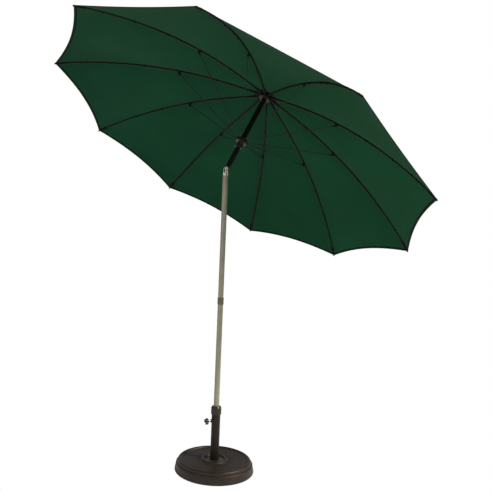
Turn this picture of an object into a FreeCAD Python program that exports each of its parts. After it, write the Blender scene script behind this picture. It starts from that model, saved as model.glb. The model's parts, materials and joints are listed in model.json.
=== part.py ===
import FreeCAD, Part
import math
import os

# Garden parasol: a round weighted base, a two-piece mast with a tilting head, and a ten-rib fabric canopy.
#
# Row frame: millimetres, +Z up, origin at the middle of the base's underside. The head leans towards +X.
# The head (everything above the tilt hinge) is drawn upright about its own axis, with its origin at the level of
# the rib hinges, and is then placed by head_placement().

Vector = FreeCAD.Vector
Z = Vector(0, 0, 1)

# Driving dimensions
fit_gap = 0.05              # fixed pieces that sit in or on each other
slide_gap = 0.3             # pieces that move past each other

# base
base_radius = 230.0
base_height = 60.0          # flat top of the plate
base_skirt_height = 48.0
base_skirt_taper = 7.0
rim_ring_inset = 17.0       # plate's edge to the rim ring
rim_ring_width = 23.0
rim_ring_rise = 7.0         # how far the rim ring stands above the flat top
boss_ring_radius = 68.0     # raised ring round the tube
boss_ring_section = 10.0
foot_radius = 60.0          # flange of the tube, cast into the plate
foot_thickness = 6.0
foot_level = 14.0
tube_radius = 25.4
tube_wall = 2.0
tube_top = 352.0
collar_wall = 4.6
collar_radius = tube_radius + collar_wall
collar_height = 48.0
collar_lip = 18.0           # how much of the collar stands above the tube
collar_flutes = 12
screw_drop = 65.0           # below the tube's top
screw_level = tube_top - screw_drop
screw_radius = 4.0
screw_boss_radius = 9.0
screw_boss_length = 9.0
bush_above_boss = 6.0
knob_radius = 18.0
knob_thickness = 12.0
knob_clearance = 26.6       # end of the boss to the middle of the knob
knob_reach = tube_radius + screw_boss_length + knob_clearance

# mast
mast_radius = 16.0
mast_wall = 1.4
mast_joint_level = 1006.0   # where the upper section stands on the lower one
ferrule_wall = 2.2
ferrule_height = 42.0
spigot_wall = 1.4
spigot_below = 70.0
spigot_above = 90.0
snap_rise = 26.0            # above the joint
snap_level = mast_joint_level + snap_rise
snap_radius = 4.0
snap_stand_out = 2.5
snap_travel = 3.5
snap_flange_radius = 5.3
snap_flange = 1.6

# tilt joint
hinge_level = 1750.0
tilt_angle = 28.1
fork_foot = 28.0            # hinge axis down to the mast's top
mast_top = hinge_level - fork_foot
fork_block_height = 12.0
fork_half_width = 10.0      # along X at the foot of a cheek
fork_half_depth = 12.0      # along Y
cheek_thickness = 4.0
cheek_top_radius = 8.0
cheek_rise = 16.0           # hinge axis to the middle of the cheek's rounded end
tilt_pin_radius = 3.0
tongue_radius = 9.5
cheek_clearance = 8.0
head_tube_start = cheek_rise + cheek_top_radius + cheek_clearance   # above the hinge axis
tilt_button_radius = 4.5
tilt_button_stand_out = 4.0
tilt_button_travel = 3.0

# head, along its own axis
head_length = 542.0         # hinge axis to the level of the rib hinges
head_tube_radius = 15.0
head_tube_wall = 1.2
runner_drop = 326.0         # rib hinges to strut hinges
crown_below = 14.0
crown_above = 12.0
crown_plate = 5.0
crown_wall = 5.5            # the hub's core round the head's tube
crown_core_radius = head_tube_radius + crown_wall
blade_room = 7.5            # a core to its wire ring, room for the round end of a rib
rib_hinge_radius = crown_core_radius + blade_room
crown_rim = 8.0
crown_radius = rib_hinge_radius + crown_rim
runner_wall = 4.6
runner_core_radius = head_tube_radius + runner_wall
runner_bore_gap = 0.5
strut_blade_room = 5.9
strut_hinge_radius = runner_core_radius + strut_blade_room
runner_rim = 7.5
runner_radius = strut_hinge_radius + runner_rim
runner_above = 9.0
runner_below = 12.0
runner_floor = 4.0
runner_sleeve_length = 38.0
ring_wire_radius = 1.25
blade_thickness = 3.8       # flat ends of the ribs and struts
slot_room = 0.5             # on each side of a blade
slot_width = blade_thickness + 2 * slot_room
stop_pin_radius = 2.0       # the pin that stops the runner at the top of its travel
stop_head_radius = 3.5
stop_head = 2.0

# ribs and struts
rib_count = 10
first_rib_angle = 12.3      # from the direction of the lean
rib_tip_radius = 1181.0
rib_tip_drop = 452.0
rib_mid_radius = 531.0
rib_mid_drop = 118.0
rib_tube_radius = 4.5
rib_tube_wall = 1.2
rib_tube_share = 0.64       # of the rib's arc, from the crown
rib_tube_clearance = 4.0    # hub's rim to the start of the rib's tube
rib_rod_gap = 0.5
rib_rod_radius = rib_tube_radius - rib_tube_wall - rib_rod_gap
rib_rod_overlap_deg = 1.0   # arc of the rod that is held inside the tube
strut_pin_clearance = 8.0   # underside of the rib's tube to the strut pin
strut_pin_drop = rib_tube_radius + strut_pin_clearance
strut_pin_radius = 1.5
strut_eye_gap = 1.8         # room in the eye of the open pivot
strut_eye_radius = 5.2
strut_radius = 2.4
bracket_wrap = 0.9
bracket_cheek = 1.4
bracket_length = 22.0
runner_end_gap = 88.0       # strut hinges to the tilt hinge at the bottom of the travel
runner_travel = head_length - runner_drop - runner_end_gap

# canopy
fabric_thickness = 1.2
fabric_clearance = 2.3      # rib's tube to the underside of the cloth
fabric_lift = rib_tube_radius + fabric_clearance
hub_clearance = 4.0
panel_inner_radius = crown_radius + hub_clearance
crown_lift = 10.0           # extra rise of the cloth over the hub
crown_lift_reach = 110.0
scallop_share = 0.030       # how far the hem draws in between two ribs, of the rib's arc
panel_sag = 34.0
panel_gap = 0.3
patch_radius = 78.0
patch_clearance = 1.1       # ribs to the underside of the patch at its rim
patch_thickness = 1.0
finial_radius = 17.0
finial_base_radius = 25.0
finial_neck = 8.0
finial_flat = 3.0
stud_radius = 5.0
stud_length = 16.0


# Shapes
def ring(outer, inner, low, high):
    """A tube about the Z axis."""
    body = Part.makeCylinder(outer, high - low, Vector(0, 0, low))
    if inner > 0:
        body = body.cut(Part.makeCylinder(inner, high - low + 2, Vector(0, 0, low - 1)))
    return body


def rod(radius, start, end):
    """A round bar from one point to another."""
    return Part.makeCylinder(radius, (end - start).Length, start, end - start)


def box(low, high):
    return Part.makeBox(high.x - low.x, high.y - low.y, high.z - low.z, low)


def turned(points):
    """A solid of revolution about Z from its outline of (radius, height) points.

    A pair of points in place of one is an arc: what it passes through, and where it ends.
    """
    edges, here = [], Vector(points[0][0], 0, points[0][1])
    for point in points[1:] + points[:1]:
        if isinstance(point[0], tuple):
            through, end = (Vector(r, 0, z) for r, z in point)
            edges.append(Part.Arc(here, through, end).toShape())
        else:
            end = Vector(point[0], 0, point[1])
            edges.append(Part.makeLine(here, end))
        here = end
    return Part.Face(Part.Wire(edges)).revolve(Vector(), Z, 360)


def spun(shape, degrees):
    """A copy of a shape, turned about the Z axis."""
    copy = shape.copy()
    copy.rotate(Vector(), Z, degrees)
    return copy


def arc_bar(radius, inner, centre, start, degrees):
    """A round bar or tube bent along an arc in the XZ plane, from its start point, turning outwards and down."""
    along = Vector(0, 1, 0).cross(start - centre).normalize()
    section = Part.Face(Part.Wire(Part.makeCircle(radius, start, along)))
    if inner > 0:
        section = section.cut(Part.Face(Part.Wire(Part.makeCircle(inner, start, along))))
    return section.revolve(centre, Vector(0, 1, 0), degrees)


def coil(radius, wire, low, high, turns):
    """A helical compression spring about Z."""
    height = high - low - 2 * wire
    path = Part.makeHelix(height / turns, height, radius)
    path.translate(Vector(0, 0, low + wire))
    section = Part.Wire(Part.makeCircle(wire, Vector(radius, 0, low + wire), Vector(0, 1, 0)))
    return Part.Wire(path.Edges).makePipeShell([section], True, True)


# Rib geometry: an arc through the hinge, the strut bracket and the tip
def arc_centre(a, b, c):
    """The centre of the circle through three points of the XZ plane."""
    d = 2 * (a.x * (b.z - c.z) + b.x * (c.z - a.z) + c.x * (a.z - b.z))
    aa, bb, cc = (p.x ** 2 + p.z ** 2 for p in (a, b, c))
    x = (aa * (b.z - c.z) + bb * (c.z - a.z) + cc * (a.z - b.z)) / d
    z = (aa * (c.x - b.x) + bb * (a.x - c.x) + cc * (b.x - a.x)) / d
    return Vector(x, 0, z)


rib_hinge = Vector(rib_hinge_radius, 0, 0)
rib_middle = Vector(rib_mid_radius, 0, -rib_mid_drop)
rib_tip = Vector(rib_tip_radius, 0, -rib_tip_drop)
rib_centre = arc_centre(rib_hinge, rib_middle, rib_tip)
rib_arc_radius = (rib_hinge - rib_centre).Length


def arc_angle(point):
    """Degrees along the rib's arc, measured from straight up."""
    return math.degrees(math.atan2(point.x - rib_centre.x, point.z - rib_centre.z))


hinge_arc = arc_angle(rib_hinge)
middle_arc = arc_angle(rib_middle)
tip_arc = arc_angle(rib_tip)


def rib_point(degrees, lift=0.0):
    """A point on the rib's arc, or lifted off it to the cloth's side."""
    a = math.radians(degrees)
    reach = rib_arc_radius + lift
    return Vector(rib_centre.x + reach * math.sin(a), 0, rib_centre.z + reach * math.cos(a))


def rib_level(radius):
    """The height of the rib's centre line at a distance from the head's axis."""
    return rib_centre.z + math.sqrt(rib_arc_radius ** 2 - (radius - rib_centre.x) ** 2)


strut_pin = rib_point(middle_arc, -strut_pin_drop)
strut_hinge = Vector(strut_hinge_radius, 0, -runner_drop)
strut_length = (strut_pin - strut_hinge).Length
pin_reach = (strut_pin - rib_hinge).Length


def fold_angles(travel):
    """How far a rib turns down and a strut turns up, in degrees, once the runner has come down by travel."""
    low = Vector(strut_hinge_radius, 0, -runner_drop - travel)
    span = (rib_hinge - low).Length
    lean = math.degrees(math.atan2(rib_hinge_radius - strut_hinge_radius, runner_drop + travel))
    at_rib = math.degrees(math.acos((pin_reach ** 2 + span ** 2 - strut_length ** 2) / (2 * pin_reach * span)))
    at_runner = math.degrees(math.acos((strut_length ** 2 + span ** 2 - pin_reach ** 2) / (2 * strut_length * span)))
    return 90 - at_rib + lean, 90 - at_runner - lean


rib_fold = fold_angles(runner_travel)[0] - fold_angles(0)[0]
strut_fold = fold_angles(runner_travel)[1] - fold_angles(0)[1]


# Base
def bead(middle, radius, centre_level):
    """The outline of a rounded ring that rises from the plate's top: where it starts, and its arc inwards."""
    reach = math.sqrt(radius ** 2 - (base_height - centre_level) ** 2)
    return [(middle + reach, base_height), ((middle, centre_level + radius), (middle - reach, base_height))]


def base_plate():
    skirt_top = base_radius - base_skirt_taper
    half = rim_ring_width / 2
    rim = bead(base_radius - rim_ring_inset - half, half, base_height + rim_ring_rise - half)
    boss = bead(boss_ring_radius, boss_ring_section, base_height - 1)
    bore, flange = tube_radius + fit_gap, foot_radius + fit_gap
    flange_top = foot_level + foot_thickness + fit_gap
    groove = (rim[0][0], base_skirt_height)
    return turned([
        (0, 0), (base_radius - 5, 0), (base_radius, 6), (skirt_top, base_skirt_height - 4),
        (skirt_top - 4, base_skirt_height), groove, *rim, *boss, (bore, base_height), (bore, flange_top),
        (flange, flange_top), (flange, foot_level), (0, foot_level),
    ])


def base_tube():
    tube = ring(tube_radius, tube_radius - tube_wall, foot_level, tube_top)
    tube = tube.fuse(ring(foot_radius, 0, foot_level, foot_level + foot_thickness))
    tube = tube.cut(rod(screw_radius + slide_gap, Vector(-tube_radius - 2, 0, screw_level), Vector(0, 0, screw_level)))
    return tube.removeSplitter()


def base_collar():
    low = tube_top + collar_lip - collar_height
    collar = turned([
        (mast_radius + slide_gap, tube_top + fit_gap), (tube_radius + fit_gap, tube_top + fit_gap),
        (tube_radius + fit_gap, low), (collar_radius - 2, low), (collar_radius, low + 5),
        (collar_radius, tube_top + 10), (collar_radius - 5, tube_top + collar_lip),
        (mast_radius + slide_gap, tube_top + collar_lip),
    ])
    for i in range(collar_flutes):
        angle = math.radians(360.0 / collar_flutes * i)
        at = Vector(math.cos(angle), math.sin(angle), 0) * (collar_radius + 2)
        collar = collar.cut(Part.makeCylinder(3.4, collar_height + 2, at + Vector(0, 0, low - 1)))
    return collar


def base_bush():
    low = screw_level + screw_boss_radius + bush_above_boss
    return ring(tube_radius - tube_wall - fit_gap, mast_radius + slide_gap, low, tube_top)


def screw_boss():
    outer = rod(screw_boss_radius, Vector(-tube_radius - screw_boss_length, 0, screw_level), Vector(0, 0, screw_level))
    hole = rod(screw_radius + fit_gap, Vector(-tube_radius - screw_boss_length - 1, 0, screw_level),
               Vector(0, 0, screw_level))
    wall = ring(tube_radius + fit_gap, 0, screw_level - 20, screw_level + 20)
    return outer.cut(hole).cut(wall)


def clamp_screw():
    return rod(screw_radius, Vector(-knob_reach + knob_thickness / 2 - 8, 0, screw_level),
               Vector(-mast_radius - slide_gap, 0, screw_level))


def clamp_knob():
    low = Vector(-knob_reach - knob_thickness / 2, 0, screw_level)
    high = Vector(-knob_reach + knob_thickness / 2, 0, screw_level)
    knob = rod(knob_radius, low, high)
    for i in range(3):
        angle = math.radians(120.0 * i + 60)
        at = Vector(0, math.cos(angle), math.sin(angle)) * (knob_radius * 1.1)
        knob = knob.cut(rod(knob_radius * 0.52, low + at - Vector(1, 0, 0), high + at + Vector(1, 0, 0)))
    knob = knob.fuse(rod(8, high, high + Vector(7, 0, 0)))
    screw_end = Vector(-knob_reach + knob_thickness / 2 - 8, 0, screw_level)
    return knob.cut(rod(screw_radius + fit_gap, screw_end, high + Vector(8, 0, 0)))


# Mast
spigot_radius = mast_radius - mast_wall - fit_gap
lower_mast_start = foot_level + foot_thickness + 4 + slide_gap


def lower_mast():
    return ring(mast_radius, mast_radius - mast_wall, lower_mast_start, mast_joint_level - fit_gap)


def lower_mast_plug():
    plug = ring(mast_radius, 0, lower_mast_start - 4, lower_mast_start)
    plug = plug.fuse(ring(mast_radius - mast_wall - fit_gap, mast_radius - 5, lower_mast_start, lower_mast_start + 25))
    return plug.removeSplitter()


def mast_ferrule():
    low = mast_joint_level - ferrule_height
    outer = mast_radius + fit_gap + ferrule_wall
    bore = mast_radius + fit_gap
    return turned([(bore, low), (outer - 1.2, low), (outer, low + 4), (outer, mast_joint_level - 4),
                   (outer - 1.2, mast_joint_level - 1), (bore, mast_joint_level - 1)])


def mast_spigot():
    tube = ring(spigot_radius, spigot_radius - spigot_wall, mast_joint_level - spigot_below,
                mast_joint_level + spigot_above)
    return tube.cut(rod(snap_radius + slide_gap, Vector(-mast_radius - 4, 0, snap_level), Vector(0, 0, snap_level)))


def snap_flange_front():
    """Where the button's flange bears on the curved inside of the spigot."""
    inside = spigot_radius - spigot_wall
    return -math.sqrt(inside ** 2 - snap_flange_radius ** 2) + slide_gap


def snap_button():
    nose, front = -mast_radius - snap_stand_out, snap_flange_front()
    button = rod(snap_radius, Vector(nose + 1.2, 0, snap_level), Vector(front + snap_flange, 0, snap_level))
    button = button.fuse(Part.makeCone(snap_radius, snap_radius - 1.5, 1.2, Vector(nose + 1.2, 0, snap_level),
                                       Vector(-1, 0, 0)))
    return button.fuse(rod(snap_flange_radius, Vector(front, 0, snap_level),
                           Vector(front + snap_flange, 0, snap_level))).removeSplitter()


def snap_spring():
    """A bent leaf that bears on the far wall and pushes the button out."""
    half, leaf = 4.0, 0.8
    start = snap_flange_front() + snap_flange + fit_gap
    reach = math.sqrt((spigot_radius - spigot_wall) ** 2 - half ** 2) - slide_gap
    front = box(Vector(start, -half, snap_level - 26), Vector(start + leaf, half, snap_level + 7))
    back = box(Vector(reach - leaf, -half, snap_level - 26), Vector(reach, half, snap_level + 7))
    foot = box(Vector(start, -half, snap_level - 26 - leaf), Vector(reach, half, snap_level - 26))
    return front.fuse(back).fuse(foot).removeSplitter()


def upper_mast():
    tube = ring(mast_radius, mast_radius - mast_wall, mast_joint_level, mast_top)
    return tube.cut(rod(snap_radius + slide_gap, Vector(-mast_radius - 4, 0, snap_level), Vector(0, 0, snap_level)))


# Tilt joint
button_level = mast_top + 9.0


def fork_cheek(side):
    """One plate of the fork: a tapering cheek with a rounded end, 'side' being -1 or 1 along Y."""
    near, far = sorted((side * (fork_half_depth - cheek_thickness), side * fork_half_depth))
    top = hinge_level + cheek_rise
    outline = Part.makePolygon([
        Vector(-fork_half_width, near, mast_top + 2), Vector(fork_half_width, near, mast_top + 2),
        Vector(cheek_top_radius, near, top), Vector(-cheek_top_radius, near, top),
        Vector(-fork_half_width, near, mast_top + 2),
    ])
    plate = Part.Face(outline).extrude(Vector(0, far - near, 0))
    return plate.fuse(rod(cheek_top_radius, Vector(0, near, top), Vector(0, far, top)))


def tilt_fork():
    plug = ring(mast_radius - mast_wall - fit_gap, 0, mast_top - 34, mast_top + fit_gap)
    plug = plug.fuse(ring(mast_radius - 0.5, 0, mast_top + fit_gap, mast_top + 4))
    block = box(Vector(-fork_half_width, -fork_half_depth, mast_top + 3),
                Vector(fork_half_width, fork_half_depth, mast_top + fork_block_height + 3))
    fork = plug.fuse(block).fuse(fork_cheek(-1)).fuse(fork_cheek(1))
    fork = fork.cut(rod(tilt_pin_radius + fit_gap, Vector(0, -40, hinge_level), Vector(0, 40, hinge_level)))
    fork = fork.cut(rod(tilt_button_radius + slide_gap, Vector(0, -40, button_level), Vector(0, 7, button_level)))
    return fork.removeSplitter()


def tilt_pin():
    head = fork_half_depth + 2.0
    pin = rod(tilt_pin_radius, Vector(0, -head, hinge_level), Vector(0, head, hinge_level))
    for side in (-1, 1):
        cap = rod(tilt_pin_radius + 2, Vector(0, side * (fork_half_depth + fit_gap), hinge_level),
                  Vector(0, side * head, hinge_level))
        pin = pin.fuse(cap)
    return pin.removeSplitter()


def tilt_button():
    nose = -fork_half_depth - tilt_button_stand_out
    button = rod(tilt_button_radius, Vector(0, nose + 1.2, button_level), Vector(0, -3, button_level))
    return button.fuse(Part.makeCone(tilt_button_radius, tilt_button_radius - 1.2, 1.2,
                                     Vector(0, nose + 1.2, button_level), Vector(0, -1, 0))).removeSplitter()


def tilt_spring():
    spring = coil(tilt_button_radius - 1.4, 0.5, -3 + fit_gap, 7 - fit_gap, 3)
    spring.rotate(Vector(), Vector(1, 0, 0), -90)
    spring.translate(Vector(0, 0, button_level))
    return spring


# Head, drawn upright with its origin at the level of the rib hinges
def tilt_tongue():
    """The tongue between the cheeks, and the plug that holds the head's tube. Its hinge is head_length below."""
    half = fork_half_depth - cheek_thickness - slide_gap
    at = -head_length
    tongue = rod(tongue_radius, Vector(0, -half, at), Vector(0, half, at))
    tongue = tongue.fuse(box(Vector(-tongue_radius, -half, at), Vector(tongue_radius, half, at + head_tube_start)))
    tongue = tongue.fuse(ring(head_tube_radius, 0, at + head_tube_start - 4, at + head_tube_start))
    tongue = tongue.fuse(ring(head_tube_radius - head_tube_wall - fit_gap, 0, at + head_tube_start,
                              at + head_tube_start + 40))
    hole = rod(tilt_pin_radius + fit_gap, Vector(0, -40, at), Vector(0, 40, at))
    return tongue.cut(hole).removeSplitter()


def head_tube():
    tube = ring(head_tube_radius, head_tube_radius - head_tube_wall, -head_length + head_tube_start + fit_gap,
                crown_above - 1)
    for pin in (stop_pin_bar(fit_gap), crown_rivet_bar(fit_gap)):
        tube = tube.cut(pin)
    return tube


stop_pin_level = -runner_drop + runner_above + stop_head_radius + slide_gap


def stop_pin_bar(gap=0.0):
    reach = Vector(0, head_tube_radius + stop_head, 0)
    middle = Vector(0, 0, stop_pin_level)
    return rod(stop_pin_radius + gap, middle - reach, middle + reach)


def stop_pin():
    bar = stop_pin_bar()
    for side in (-1, 1):
        start = Vector(0, side * (head_tube_radius + fit_gap), stop_pin_level)
        bar = bar.fuse(rod(stop_head_radius, start, start + Vector(0, side * stop_head, 0)))
    return bar.removeSplitter()


def crown_rivet_bar(gap=0.0):
    reach = crown_core_radius - 1.5
    return rod(1.6 + gap, Vector(0, -reach, -crown_below + 4), Vector(0, reach, -crown_below + 4))


def hub(radius, core, bore, low, high, floor_low, floor_high):
    """A slotted hub about Z: a core, and a tooth between each pair of slots."""
    body = ring(radius, bore, low, high)
    cutter = box(Vector(core, -slot_width / 2, floor_low), Vector(radius + 1, slot_width / 2, floor_high))
    for i in range(rib_count):
        body = body.cut(spun(cutter, first_rib_angle + 360.0 / rib_count * i))
    return body


def crown_hub():
    body = hub(crown_radius, crown_core_radius, head_tube_radius + fit_gap, -crown_below, crown_above,
               -crown_below - 1, crown_above - crown_plate)
    body = body.cut(Part.makeTorus(rib_hinge_radius, ring_wire_radius + fit_gap))
    return body.cut(crown_rivet_bar(fit_gap))


def runner_hub():
    bore = head_tube_radius + runner_bore_gap
    floor = -runner_below + runner_floor
    body = hub(runner_radius, runner_core_radius, bore, -runner_below, runner_above,
               floor, runner_above + 1)
    body = body.cut(Part.makeTorus(strut_hinge_radius, ring_wire_radius + fit_gap))
    low = -runner_below - runner_sleeve_length
    core = runner_core_radius
    sleeve = turned([(bore, low), (core + 2.5, low), (core + 3.5, low + 3), (core + 2.5, low + 6), (core, low + 10),
                     (core - 1, low + 20), (core + 1, -runner_below), (bore, -runner_below)])
    body = body.fuse(sleeve).removeSplitter()
    body.translate(Vector(0, 0, -runner_drop))
    return body


def hinge_wire(radius, level):
    return Part.makeTorus(radius, ring_wire_radius, Vector(0, 0, level))


def crown_patch():
    start, low = crown_radius + slide_gap, crown_above + fit_gap
    bore = head_tube_radius + 2
    rim = rib_level(patch_radius) + rib_tube_radius + patch_clearance
    return turned([(bore, low), (start, low), (patch_radius, rim), (patch_radius, rim + patch_thickness),
                   (start, low + patch_thickness), (bore, low + patch_thickness)])


def top_plug():
    """Sits in the top of the head's tube and takes the finial's stud."""
    outer = head_tube_radius - head_tube_wall - fit_gap
    plug = ring(outer, stud_radius + fit_gap, crown_above - 26, crown_above - 1)
    return plug.cut(crown_rivet_bar(fit_gap))


def finial():
    low = crown_above + fit_gap + patch_thickness + fit_gap
    neck = low + 13
    ball = neck + math.sqrt(finial_radius ** 2 - finial_neck ** 2)
    crest = ball + math.sqrt(finial_radius ** 2 - finial_flat ** 2)
    return turned([
        (0, crown_above - stud_length), (stud_radius, crown_above - stud_length), (stud_radius, low),
        (finial_base_radius, low), (finial_base_radius, low + 2.5), (finial_base_radius - 6, low + 5),
        (finial_neck, low + 8), (finial_neck, neck), ((finial_radius, ball), (finial_flat, crest)), (0, crest),
    ])


# One rib and its strut, in the XZ plane
def eye_blade(at, towards, hole, reach, radius):
    """A flat end: a rounded blade with a hole, from the hinge towards the bar that it carries."""
    half = Vector(0, blade_thickness / 2, 0)
    along = (towards - at).normalize()
    across = Vector(-along.z, 0, along.x) * radius
    end = at + along * reach
    blade = Part.Face(Part.makePolygon([at - across - half, at + across - half, end + across - half,
                                        end - across - half, at - across - half])).extrude(half * 2)
    blade = blade.fuse(rod(radius, at - half, at + half))
    return blade.cut(rod(hole, at - half * 3, at + half * 3))


def rib():
    """The inner tube with its hinge blade, the thinner outer rod, the strut bracket and its pin, as solids."""
    tube_start = crown_radius - rib_hinge_radius + rib_tube_clearance
    start_arc = hinge_arc + math.degrees(tube_start / rib_arc_radius)
    tube_end = hinge_arc + (tip_arc - hinge_arc) * rib_tube_share
    tube = arc_bar(rib_tube_radius, rib_tube_radius - rib_tube_wall, rib_centre, rib_point(start_arc),
                   tube_end - start_arc)
    blade = eye_blade(rib_hinge, rib_point(start_arc), ring_wire_radius + slide_gap, tube_start + 4, 3.6)
    plug_end = start_arc + math.degrees(20.0 / rib_arc_radius)
    plug = arc_bar(rib_tube_radius - rib_tube_wall - fit_gap, 0, rib_centre, rib_point(start_arc), plug_end - start_arc)
    tube = tube.cut(blade)
    tongue = blade.fuse(plug).removeSplitter()
    rod_start = tube_end - rib_rod_overlap_deg
    outer_rod = arc_bar(rib_rod_radius, 0, rib_centre, rib_point(rod_start), tip_arc - rod_start)
    return [tube, tongue, outer_rod] + rib_bracket()


def rib_bracket():
    """A saddle round the rib's tube whose two cheeks carry the strut pin."""
    along = Vector(0, 1, 0).cross(rib_middle - rib_centre).normalize()
    down = (rib_centre - rib_middle).normalize()
    half_gap = blade_thickness / 2 + slide_gap
    wrap = rod(rib_tube_radius + bracket_wrap, rib_middle - along * (bracket_length / 2),
               rib_middle + along * (bracket_length / 2))
    cheeks = []
    for side in (-1, 1):
        y = side * (half_gap + bracket_cheek / 2)
        cheek = Part.makeBox(12, bracket_cheek, 16, Vector(-6, -bracket_cheek / 2, 0))
        turn = FreeCAD.Rotation(Z, down)
        cheek.Placement = FreeCAD.Placement(rib_middle + Vector(0, y, 0), turn)
        cheeks.append(cheek)
    saddle = wrap.fuse(cheeks)
    bore = arc_bar(rib_tube_radius + fit_gap, 0, rib_centre,
                   rib_point(middle_arc - 1.0), 2.0)
    pin_span = Vector(0, half_gap + bracket_cheek + 1, 0)
    saddle = saddle.cut(bore).cut(rod(strut_pin_radius + fit_gap, strut_pin - pin_span * 2, strut_pin + pin_span * 2))
    pin = rod(strut_pin_radius, strut_pin - pin_span, strut_pin + pin_span)
    return [saddle.removeSplitter(), pin]


def strut():
    along = (strut_pin - strut_hinge).normalize()
    bar = rod(strut_radius, strut_hinge + along * 14, strut_pin - along * 14)
    inner = eye_blade(strut_hinge, strut_pin, ring_wire_radius + slide_gap, 16, 3.4)
    outer = eye_blade(strut_pin, strut_hinge, strut_pin_radius + strut_eye_gap, 16, strut_eye_radius)
    return bar.fuse(inner).fuse(outer).removeSplitter()


# Cloth: one panel per rib, from the middle of one gore to the middle of the next
panel_steps = 12
panel_half_steps = 4


def cloth_line(share):
    """The cloth's underside along a rib, at a share of the way from the hub to the tip."""
    start = math.degrees((panel_inner_radius - rib_hinge_radius) / rib_arc_radius) + hinge_arc
    point = rib_point(start + (tip_arc - start) * share, fabric_lift)
    inward = max(0.0, 1 - (point.x - panel_inner_radius) / crown_lift_reach)
    return point + Vector(0, 0, crown_lift * inward ** 2)


def cloth_point(share, across):
    """A point of the underside, 'across' running from -0.5 to 0.5 of the way to the neighbouring ribs."""
    bow = 4 * abs(across) * (1 - abs(across))
    line = cloth_line(share * (1 - scallop_share * bow))
    step = math.radians(360.0 / rib_count) * (1 if across >= 0 else -1)
    way = abs(across)
    radial = line.x * (1 - way) + line.x * math.cos(step) * way
    side = line.x * math.sin(step) * way
    if way >= 0.5:
        side -= math.copysign(panel_gap / 2, side)
    sag = panel_sag * bow * math.sin(math.pi * share)
    return Vector(radial, side, line.z - sag)


def canopy_panel():
    grid = [[cloth_point(i / panel_steps, j / panel_half_steps / 2) for j in range(-panel_half_steps,
             panel_half_steps + 1)] for i in range(panel_steps + 1)]
    up = Vector(0, 0, fabric_thickness)
    top = [[p + up for p in row] for row in grid]
    faces = []

    def quad(a, b, c, d):
        for corners in ((a, b, c), (a, c, d)):
            faces.append(Part.Face(Part.makePolygon(list(corners) + [corners[0]])))

    last_row, last_column = panel_steps, 2 * panel_half_steps
    for i in range(last_row):
        for j in range(last_column):
            quad(grid[i][j], grid[i + 1][j], grid[i + 1][j + 1], grid[i][j + 1])
            quad(top[i][j], top[i][j + 1], top[i + 1][j + 1], top[i + 1][j])
        for j in (0, last_column):
            quad(grid[i][j], grid[i + 1][j], top[i + 1][j], top[i][j])
    for j in range(last_column):
        for i in (0, last_row):
            quad(grid[i][j], grid[i][j + 1], top[i][j + 1], top[i][j])
    panel = Part.Solid(Part.makeShell(faces))
    if panel.Volume < 0:
        panel.reverse()
    return panel


# Placing and writing
def head_placement():
    """From the head's own frame, with the rib hinges at its origin, to the row frame."""
    turn = FreeCAD.Rotation(Vector(0, 1, 0), tilt_angle)
    return FreeCAD.Placement(Vector(0, 0, hinge_level) + turn.multVec(Vector(0, 0, head_length)), turn)


def write(name, *solids):
    shape = solids[0] if len(solids) == 1 else Part.makeCompound(list(solids))
    for solid in shape.Solids:
        if not solid.isValid() or solid.Volume <= 0:
            raise ValueError(f"{name}: a solid is not valid")
    shape.exportStep(f"parts/{name}.step")
    print(f"{name}: {len(shape.Solids)} solids, {shape.Volume / 1000:.1f} cm3")


def write_head(name, *solids):
    """Writes a node of the head, moved to its place in the row frame."""
    placed = []
    for solid in solids:
        copy = solid.copy()
        copy.Placement = head_placement().multiply(copy.Placement)
        placed.append(copy)
    write(name, *placed)


def rib_angle(number):
    return first_rib_angle + 360.0 / rib_count * number


def main():
    os.makedirs("parts", exist_ok=True)
    for name, make in {
        "base_plate": base_plate, "base_tube": base_tube, "base_collar": base_collar, "base_bush": base_bush,
        "screw_boss": screw_boss, "clamp_screw": clamp_screw, "clamp_knob": clamp_knob, "lower_mast": lower_mast,
        "lower_mast_plug": lower_mast_plug, "mast_ferrule": mast_ferrule, "mast_spigot": mast_spigot,
        "snap_button": snap_button, "snap_spring": snap_spring, "upper_mast": upper_mast, "tilt_fork": tilt_fork,
        "tilt_pin": tilt_pin, "tilt_button": tilt_button, "tilt_spring": tilt_spring,
    }.items():
        write(name, make())
    for name, make in {
        "tilt_tongue": tilt_tongue, "head_tube": head_tube, "stop_pin": stop_pin, "crown_rivet": crown_rivet_bar,
        "crown_hub": crown_hub, "runner_hub": runner_hub, "crown_patch": crown_patch, "top_plug": top_plug,
        "finial": finial,
    }.items():
        write_head(name, make())
    write_head("crown_wire", hinge_wire(rib_hinge_radius, 0))
    write_head("runner_wire", hinge_wire(strut_hinge_radius, -runner_drop))
    rib_solids, strut_solid, panel = rib(), strut(), canopy_panel()
    for i in range(rib_count):
        angle = rib_angle(i)
        write_head(f"rib_{i + 1:02d}", *[spun(solid, angle) for solid in rib_solids])
        write_head(f"strut_{i + 1:02d}", spun(strut_solid, angle))
        write_head(f"canopy_panel_{i + 1:02d}", spun(panel, angle))
    print(f"travel in mm: snap button {snap_travel}, tilt release {tilt_button_travel}, runner {runner_travel}")
    print(f"degrees at the runner's lowest: ribs {rib_fold:.3f} down, struts {strut_fold:.3f} up")


main()
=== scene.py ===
import json
import math
import bpy
from mathutils import Matrix, Vector


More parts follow.
